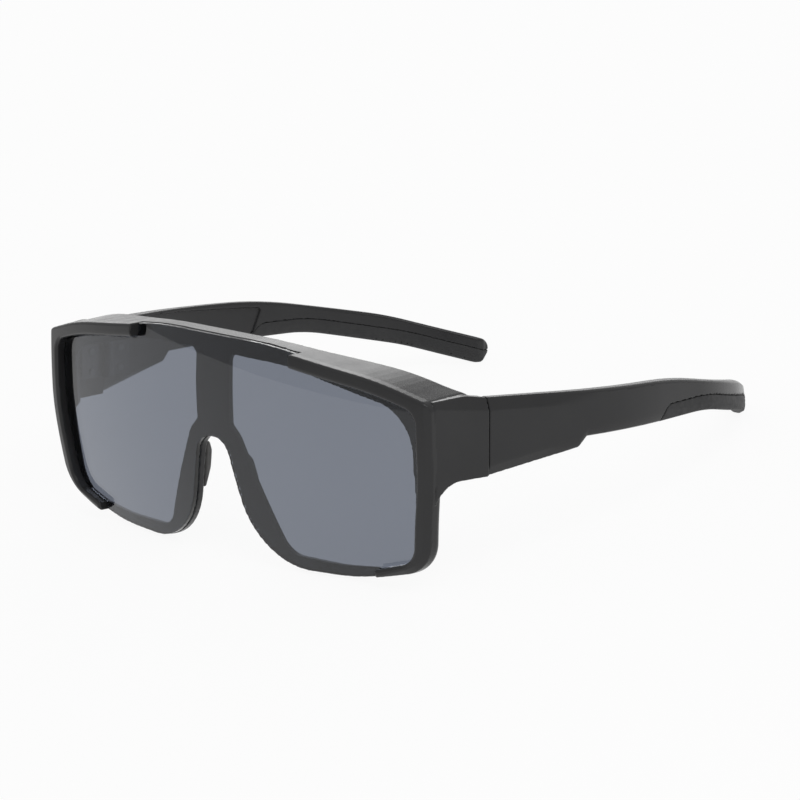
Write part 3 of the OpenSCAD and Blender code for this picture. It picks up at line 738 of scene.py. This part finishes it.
def temple_field(x, y, z):
    """Temple with the seat of the grip, the recess and the boss of the hinge leaf."""
    shape, outer, core = temple_shape(x, y, z)
    seat = rmin(-grip_zone(y, z, outer), core + GRIP_T, SEAT_FILLET)
    arm = rmax(shape, seat, SEAT_EDGE_R)
    floor = outer + TEMPLE_T - RECESS_D
    arm = rmax(arm, -np.maximum(recess_zone(y, z), floor), RECESS_EDGE_R)
    boss = np.abs(x - INNER_X - BOSS_T / 2) - BOSS_T / 2
    boss = np.maximum(boss, np.abs(z - HINGE_Z) - HINGE_H / 2 - BOSS_RIM)
    boss = np.maximum(boss, y - TEMPLE_Y - SWING_R - LEAF_L - BOSS_RIM)
    return np.maximum(rmin(arm, boss, BOSS_FILLET), TEMPLE_Y - y)


def grip_field(x, y, z):
    """Ear grip, a skin that stands a little proud of the temple."""
    shape, outer, core = temple_shape(x, y, z)
    skin = rmax(shape - GRIP_PROUD, grip_zone(y, z, outer) + GRIP_GAP, GRIP_EDGE_R)
    return rmax(skin, GRIP_INNER_GAP - GRIP_T - core, GRIP_INNER_R)


# Nose pads, on the wearer's left

def nose_side(z):
    """Half width of the nose opening at a height."""
    return NOSE_W - NOSE_TAN * z


def pad_frame():
    """Top of the pad, and its directions: thickness, depth and length."""
    low = PAD_TOP - PAD_L
    y = float(face_y(nose_side(PAD_TOP), PAD_TOP, REAR_W))
    pitch = math.atan((float(face_y(nose_side(low), low, REAR_W)) - y) / PAD_L)
    turn = Matrix.Rotation(pitch, 3, "X")
    turn = turn @ Matrix.Rotation(-math.atan(NOSE_TAN), 3, "Y")
    turn = turn @ Matrix.Rotation(-math.radians(PAD_SPLAY), 3, "Z")
    place = np.array([nose_side(PAD_TOP) + PAD_T * PAD_SINK, y + PAD_GAP, PAD_TOP])
    return place, np.array(turn)


PAD_AT, PAD_TURN = pad_frame()
PAD_LOOP = rounded([(behind, -below, radius) for behind, below, radius in PAD_CORNERS])


def pad_field(x, y, z):
    """Nose pad, thinner towards its two ends."""
    d = [x - PAD_AT[0], y - PAD_AT[1], z - PAD_AT[2]]
    u, v, s = [sum(PAD_TURN[i][k] * d[i] for i in range(3)) for k in range(3)]
    crown = PAD_CROWN * (((s + PAD_L / 2) / (PAD_L / 2)) ** 2)
    return rmax(inside_distance(PAD_LOOP, v, s), np.abs(u) - PAD_T / 2 + crown, PAD_ROUND)


# Meshes from fields

CORNERS = np.array([[k & 1, k >> 1 & 1, k >> 2 & 1] for k in range(8)])


def crossed_cells(inside):
    """Cells with corners on both sides of the surface, and a grid of their numbers."""
    n = np.array(inside.shape)
    count = np.zeros(n - 1, np.int8)
    for a, b, c in CORNERS:
        count += inside[a:n[0] - 1 + a, b:n[1] - 1 + b, c:n[2] - 1 + c]
    crossed = (count > 0) & (count < 8)
    cells = np.argwhere(crossed)
    number = np.full(crossed.shape, -1, np.int64)
    number[crossed] = np.arange(len(cells))
    return cells, number


def cell_points(values, cells):
    """Mean of the crossings on the edges of each cell, counted in cells."""
    at = [values[tuple((cells + corner).T)] for corner in CORNERS]
    total = np.zeros((len(cells), 3))
    count = np.zeros(len(cells))
    for i in range(8):
        for j in range(i + 1, 8):
            if np.abs(CORNERS[i] - CORNERS[j]).sum() != 1:
                continue
            cross = (at[i] < 0) != (at[j] < 0)
            t = np.where(cross, at[i] / np.where(cross, at[i] - at[j], 1), 0)
            total += (CORNERS[i] + t[:, None] * (CORNERS[j] - CORNERS[i])) * cross[:, None]
            count += cross
    return cells + total / count[:, None]


def gradient(field, points):
    """Slope of a field at points, by small steps either way."""
    slopes = []
    for d in np.eye(3) * PROBE:
        rise = field(*(points + d).T) - field(*(points - d).T)
        slopes.append(rise / (2 * PROBE))
    return np.stack(slopes, 1)


def settled(field, points, step):
    """Points moved onto the surface of a field, each near its own cell."""
    moved = points.copy()
    reach = SETTLE_REACH * step
    for _ in range(SETTLE_ROUNDS):
        slope = gradient(field, moved)
        steep = np.maximum((slope * slope).sum(1), SLOPE_MIN)
        move = -field(*moved.T)[:, None] * slope / steep[:, None]
        moved = points + np.clip(moved + move - points, -reach, reach)
    return moved


def crossing_faces(inside, number, axis):
    """Faces round the grid edges along one axis that leave the surface, and that enter it."""
    first, second = [(1, 2), (2, 0), (0, 1)][axis]
    near = [slice(None)] * 3
    far = [slice(None)] * 3
    near[axis] = slice(0, -1)
    far[axis] = slice(1, None)
    a = inside[tuple(near)]
    b = inside[tuple(far)]
    faces = []
    for hit in (a & ~b, ~a & b):
        edges = np.argwhere(hit)
        edges = edges[(edges[:, first] > 0) & (edges[:, second] > 0)]
        corners = []
        for back, down in ((0, 0), (1, 0), (1, 1), (0, 1)):
            cell = edges.copy()
            cell[:, first] -= back
            cell[:, second] -= down
            corners.append(number[tuple(cell.T)])
        faces.append(np.stack(corners, 1))
    return faces


def surface_faces(inside, number, mirrored):
    """Four-sided faces of the whole surface, facing outwards."""
    faces = []
    for axis in range(3):
        leaving, entering = crossing_faces(inside, number, axis)
        faces.append(leaving[:, ::-1] if mirrored else leaving)
        faces.append(entering if mirrored else entering[:, ::-1])
    return np.vstack(faces)


def solve(name, field, box, step, mirrored=False):
    """A closed mesh on the zero surface of a field, one vertex in each crossed cell."""
    axes = [np.arange(a - 2 * step, b + 2.5 * step, step) for a, b in zip(*box)]
    values = field(axes[0][:, None, None], axes[1][None, :, None], axes[2][None, None, :])
    values = np.ascontiguousarray(np.broadcast_to(values, [len(a) for a in axes]))
    inside = values < 0
    cells, number = crossed_cells(inside)
    start = np.array([a[0] for a in axes])
    points = settled(field, start + cell_points(values, cells) * step, step)
    normal = gradient(field, points)
    normal /= np.maximum(np.linalg.norm(normal, axis=1), TINY)[:, None]
    if mirrored:
        points = points * [-1, 1, 1]
        normal = normal * [-1, 1, 1]
    faces = surface_faces(inside, number, mirrored)
    return build(name, standing(points), faces, turned(normal))


def build(name, points, faces, normals=None):
    """A smooth mesh object from points in metres and faces of equal size."""
    mesh = bpy.data.meshes.new(name)
    mesh.vertices.add(len(points))
    mesh.vertices.foreach_set("co", np.asarray(points, np.float32).ravel())
    sides = faces.shape[1]
    mesh.loops.add(faces.size)
    mesh.loops.foreach_set("vertex_index", faces.ravel().astype(np.int32))
    mesh.polygons.add(len(faces))
    mesh.polygons.foreach_set("loop_start", np.arange(0, faces.size, sides, dtype=np.int32))
    mesh.polygons.foreach_set("loop_total", np.full(len(faces), sides, np.int32))
    mesh.update(calc_edges=True)
    mesh.validate()
    mesh.polygons.foreach_set("use_smooth", np.ones(len(mesh.polygons), bool))
    if normals is not None:
        mesh.normals_split_custom_set_from_vertices([tuple(v) for v in normals])
    return linked(name, mesh)


def linked(name, data):
    """A new object of the scene that holds the data."""
    obj = bpy.data.objects.new(name, data)
    bpy.context.scene.collection.objects.link(obj)
    return obj


# Materials

WHITE = (1, 1, 1, 1)
FRAME_DARK = (0.026, 0.026, 0.027)
FRAME_LIGHT = (0.031, 0.031, 0.032)
TEMPLE_LIGHT = (0.032, 0.032, 0.033)
GRIP_DARK = (0.030, 0.030, 0.031)
GRIP_LIGHT = (0.038, 0.038, 0.039)
PAD_DARK = (0.085, 0.083, 0.082)
PAD_LIGHT = (0.100, 0.098, 0.096)
LENS_DARK = (0.158, 0.176, 0.216)
LENS_LIGHT = (0.166, 0.184, 0.224)
LEAF_GREY = (0.10, 0.10, 0.105)
SCREW_GREY = (0.15, 0.15, 0.155)
METAL_SHADE = 0.8
FLOOR_DARK = (0.86, 0.86, 0.86)
FLOOR_LIGHT = (0.88, 0.88, 0.88)


class Nodes:
    """Short way to wire a material."""

    def __init__(self, name):
        self.material = bpy.data.materials.new(name)
        self.material.use_nodes = True
        self.tree = self.material.node_tree
        self.shader = self.tree.nodes["Principled BSDF"]
        self.out = self.tree.nodes["Material Output"]
        self.place = self.node("ShaderNodeTexCoord").outputs["Object"]

    def node(self, kind, **settings):
        """A new node with its settings."""
        new = self.tree.nodes.new(kind)
        for key, value in settings.items():
            setattr(new, key, value)
        return new

    def link(self, output, target):
        """Wires an output to an input."""
        self.tree.links.new(output, target)

    def set(self, socket, value):
        """One value for the whole surface."""
        self.shader.inputs[socket].default_value = value

    def feed(self, socket, output):
        """A pattern for a socket of the shader."""
        self.link(output, self.shader.inputs[socket])

    def noise(self, scale, detail, stretch=None):
        """Cloudy pattern, its scale in cycles a metre."""
        new = self.node("ShaderNodeTexNoise")
        new.inputs["Scale"].default_value = scale
        new.inputs["Detail"].default_value = detail
        place = self.place
        if stretch:
            mapping = self.node("ShaderNodeMapping")
            mapping.inputs["Scale"].default_value = stretch
            self.link(place, mapping.inputs["Vector"])
            place = mapping.outputs["Vector"]
        self.link(place, new.inputs["Vector"])
        return new.outputs["Fac"]

    def spread(self, pattern, low=0.0, high=1.0):
        """The middle range of a pattern, stretched to low and high."""
        new = self.node("ShaderNodeMapRange")
        self.link(pattern, new.inputs["Value"])
        new.inputs["From Min"].default_value = 0.3
        new.inputs["From Max"].default_value = 0.7
        new.inputs["To Min"].default_value = low
        new.inputs["To Max"].default_value = high
        return new.outputs["Result"]

    def colour(self, pattern, dark, light):
        """Base colour that drifts between two tones."""
        new = self.node("ShaderNodeMix", data_type="RGBA")
        self.link(self.spread(pattern), new.inputs["Factor"])
        new.inputs["A"].default_value = (*dark, 1)
        new.inputs["B"].default_value = (*light, 1)
        self.feed("Base Color", new.outputs["Result"])

    def bump(self, height, strength, distance, after=None):
        """Fine relief, its distance in metres."""
        new = self.node("ShaderNodeBump")
        new.inputs["Strength"].default_value = strength
        new.inputs["Distance"].default_value = distance
        self.link(height, new.inputs["Height"])
        if after is not None:
            self.link(after, new.inputs["Normal"])
        return new.outputs["Normal"]


def plastic(name, dark, light):
    """Satin moulded plastic with faint clouding and fine grain."""
    m = Nodes(name)
    m.colour(m.noise(scale=45, detail=3), dark, light)
    m.feed("Roughness", m.spread(m.noise(scale=260, detail=4), low=0.18, high=0.26))
    grain = m.bump(m.noise(scale=5200, detail=2), strength=0.35, distance=0.00002)
    waves = m.bump(m.noise(scale=120, detail=2), strength=0.12, distance=0.0001, after=grain)
    m.feed("Normal", waves)
    m.set("Specular IOR Level", 0.28)
    return m.material


def rubber(name, dark, light):
    """Soft rubber with a dull, finely pitted skin."""
    m = Nodes(name)
    m.colour(m.noise(scale=90, detail=3), dark, light)
    m.feed("Roughness", m.spread(m.noise(scale=700, detail=3), low=0.55, high=0.7))
    m.feed("Normal", m.bump(m.noise(scale=7000, detail=2), strength=0.5, distance=0.00003))
    m.set("Specular IOR Level", 0.35)
    return m.material


def steel(name, light, stretch, rough):
    """Dark metal with fine tool marks across the stretch."""
    m = Nodes(name)
    marks = m.noise(scale=900, detail=3, stretch=stretch)
    dark = tuple(c * METAL_SHADE for c in light)
    m.colour(m.noise(scale=400, detail=2), dark, light)
    m.feed("Roughness", m.spread(marks, *rough))
    m.feed("Normal", m.bump(marks, strength=0.25, distance=0.00002))
    m.set("Metallic", 1)
    return m.material


def tinted(name, dark, light):
    """Clear grey lens with a faint drift in its tint."""
    m = Nodes(name)
    m.colour(m.noise(scale=14, detail=1), dark, light)
    m.feed("Roughness", m.spread(m.noise(scale=60, detail=2), low=0.012, high=0.03))
    m.set("Transmission Weight", 1)
    m.set("IOR", 1.5)
    return m.material


def paint(obj, material):
    """Gives an object one material in place of its own."""
    obj.data.materials.clear()
    obj.data.materials.append(material)


# Pieces

def dress(piece, material, node, body):
    """Gives a piece its material, hides the part it replaces, and hangs it on the body it rides
    on.
    """
    paint(piece, material)
    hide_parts(node)
    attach(piece, body)


def make_front():
    """Front moulding and shield lens."""
    moulding = solve("front_moulding", front_field, FRONT_BOX, STEP)
    satin = plastic("frame_satin", FRAME_DARK, FRAME_LIGHT)
    dress(moulding, satin, "front_frame", "front")
    lens = solve("lens_shield", lens_field, LENS_BOX, STEP)
    tint = tinted("lens_grey", LENS_DARK, LENS_LIGHT)
    dress(lens, tint, "shield_lens", "front")


def make_sides():
    """Nose pads, temples and ear grips, the right ones mirrored."""
    satin = plastic("temple_satin", FRAME_DARK, TEMPLE_LIGHT)
    soft = rubber("grip_soft", GRIP_DARK, GRIP_LIGHT)
    padding = rubber("pad_soft", PAD_DARK, PAD_LIGHT)
    for side, mirrored in (("left", False), ("right", True)):
        pad = solve("pad_" + side, pad_field, PAD_BOX, PAD_STEP, mirrored)
        dress(pad, padding, "nose_pad_" + side, "front")
        arm = solve("arm_" + side, temple_field, TEMPLE_BOX, STEP, mirrored)
        dress(arm, satin, "temple_" + side, side + "_arm")
        grip = solve("grip_" + side, grip_field, GRIP_BOX, GRIP_STEP, mirrored)
        dress(grip, soft, "ear_grip_" + side, side + "_arm")


def paint_hinges():
    """Metal for the leaves, screws and rivets, which keep their solids' shape."""
    brushed = steel("hinge_brushed", LEAF_GREY, stretch=(1, 12, 1), rough=(0.22, 0.36))
    machined = steel("screw_turned", SCREW_GREY, stretch=(1, 1, 6), rough=(0.16, 0.28))
    for name, obj in frame["nodes"].items():
        if "leaf" in name:
            paint(obj, brushed)
        elif "screw" in name or "rivets" in name:
            paint(obj, machined)


# Floor, light and camera

def either(nodes, links, first, second):
    """A value that is 1 where either of two rays is."""
    new = nodes.new("ShaderNodeMath")
    new.operation = "MAXIMUM"
    links.new(first, new.inputs[0])
    links.new(second, new.inputs[1])
    return new.outputs[0]


def white_ground(name, glow_share):
    """Pale matt floor that glows white for the camera and in glass, and still takes a shadow."""
    m = Nodes(name)
    m.colour(m.noise(scale=3, detail=2), FLOOR_DARK, FLOOR_LIGHT)
    m.set("Roughness", 0.9)
    m.set("Specular IOR Level", 0.1)
    glow = m.node("ShaderNodeEmission")
    glow.inputs["Color"].default_value = WHITE
    rays = m.node("ShaderNodeLightPath").outputs
    seen = either(m.tree.nodes, m.tree.links, rays["Is Camera Ray"], rays["Is Glossy Ray"])
    seen = either(m.tree.nodes, m.tree.links, seen, rays["Is Transmission Ray"])
    share = m.node("ShaderNodeMath", operation="MULTIPLY")
    m.link(seen, share.inputs[0])
    share.inputs[1].default_value = glow_share
    mix = m.node("ShaderNodeMixShader")
    m.link(share.outputs[0], mix.inputs[0])
    m.link(m.shader.outputs[0], mix.inputs[1])
    m.link(glow.outputs[0], mix.inputs[2])
    m.link(mix.outputs[0], m.out.inputs["Surface"])
    return m.material


def lay_floor():
    """Wide square floor."""
    half = FLOOR_HALF
    corners = [(-half, -half, 0), (half, -half, 0), (half, half, 0), (-half, half, 0)]
    floor = build("floor", corners, np.array([[0, 1, 2, 3]]))
    paint(floor, white_ground("floor_white", glow_share=0.92))


def light_world(level):
    """Even white light, with a background of strength 1 for the camera and through the lens."""
    world = bpy.data.worlds.new("studio")
    bpy.context.scene.world = world
    world.use_nodes = True
    nodes = world.node_tree.nodes
    links = world.node_tree.links
    background = nodes["Background"]
    background.inputs["Color"].default_value = WHITE
    rays = nodes.new("ShaderNodeLightPath").outputs
    seen = either(nodes, links, rays["Is Camera Ray"], rays["Is Transmission Ray"])
    strength = nodes.new("ShaderNodeMapRange")
    links.new(seen, strength.inputs["Value"])
    strength.inputs["To Min"].default_value = level
    strength.inputs["To Max"].default_value = 1.0
    links.new(strength.outputs["Result"], background.inputs["Strength"])


def area_light(name, place, width, height, power):
    """A soft lamp that faces the glasses."""
    data = bpy.data.lights.new(name, "AREA")
    data.shape = "RECTANGLE"
    data.size = width
    data.size_y = height
    data.energy = power
    away = Vector(place) - Vector(LAMP_TARGET)
    turn = away.to_track_quat("Z", "Y").to_matrix().to_4x4()
    linked(name, data).matrix_world = Matrix.Translation(place) @ turn


def place_camera():
    """Camera fitted as worn, and turned with the glasses into the standing pose."""
    azimuth = math.radians(CAM_AZ)
    height = math.radians(CAM_EL)
    back = np.array([math.sin(azimuth), -math.cos(azimuth), 0]) * math.cos(height)
    back[2] = math.sin(height)
    right = np.array([math.cos(azimuth), math.sin(azimuth), 0])
    up = np.cross(back, right)
    eye = standing(back * CAM_DIST + right * CAM_RIGHT + up * CAM_UP)
    turn = np.column_stack([turned(right), turned(up), turned(back)])
    data = bpy.data.cameras.new("camera")
    data.lens = CAM_LENS
    data.sensor_width = CAM_SENSOR
    data.clip_start, data.clip_end = CAM_CLIP
    camera = linked("camera", data)
    camera.matrix_world = Matrix([[*turn[i], eye[i]] for i in range(3)] + [[0, 0, 0, 1]])
    bpy.context.scene.camera = camera


make_front()
make_sides()
paint_hinges()
lay_floor()
light_world(level=0.55)
area_light("key", KEY_PLACE, width=0.9, height=0.9, power=6)
area_light("rear", REAR_PLACE, width=1.4, height=0.6, power=4.5)
place_camera()
bpy.context.scene.view_settings.view_transform = "Standard"
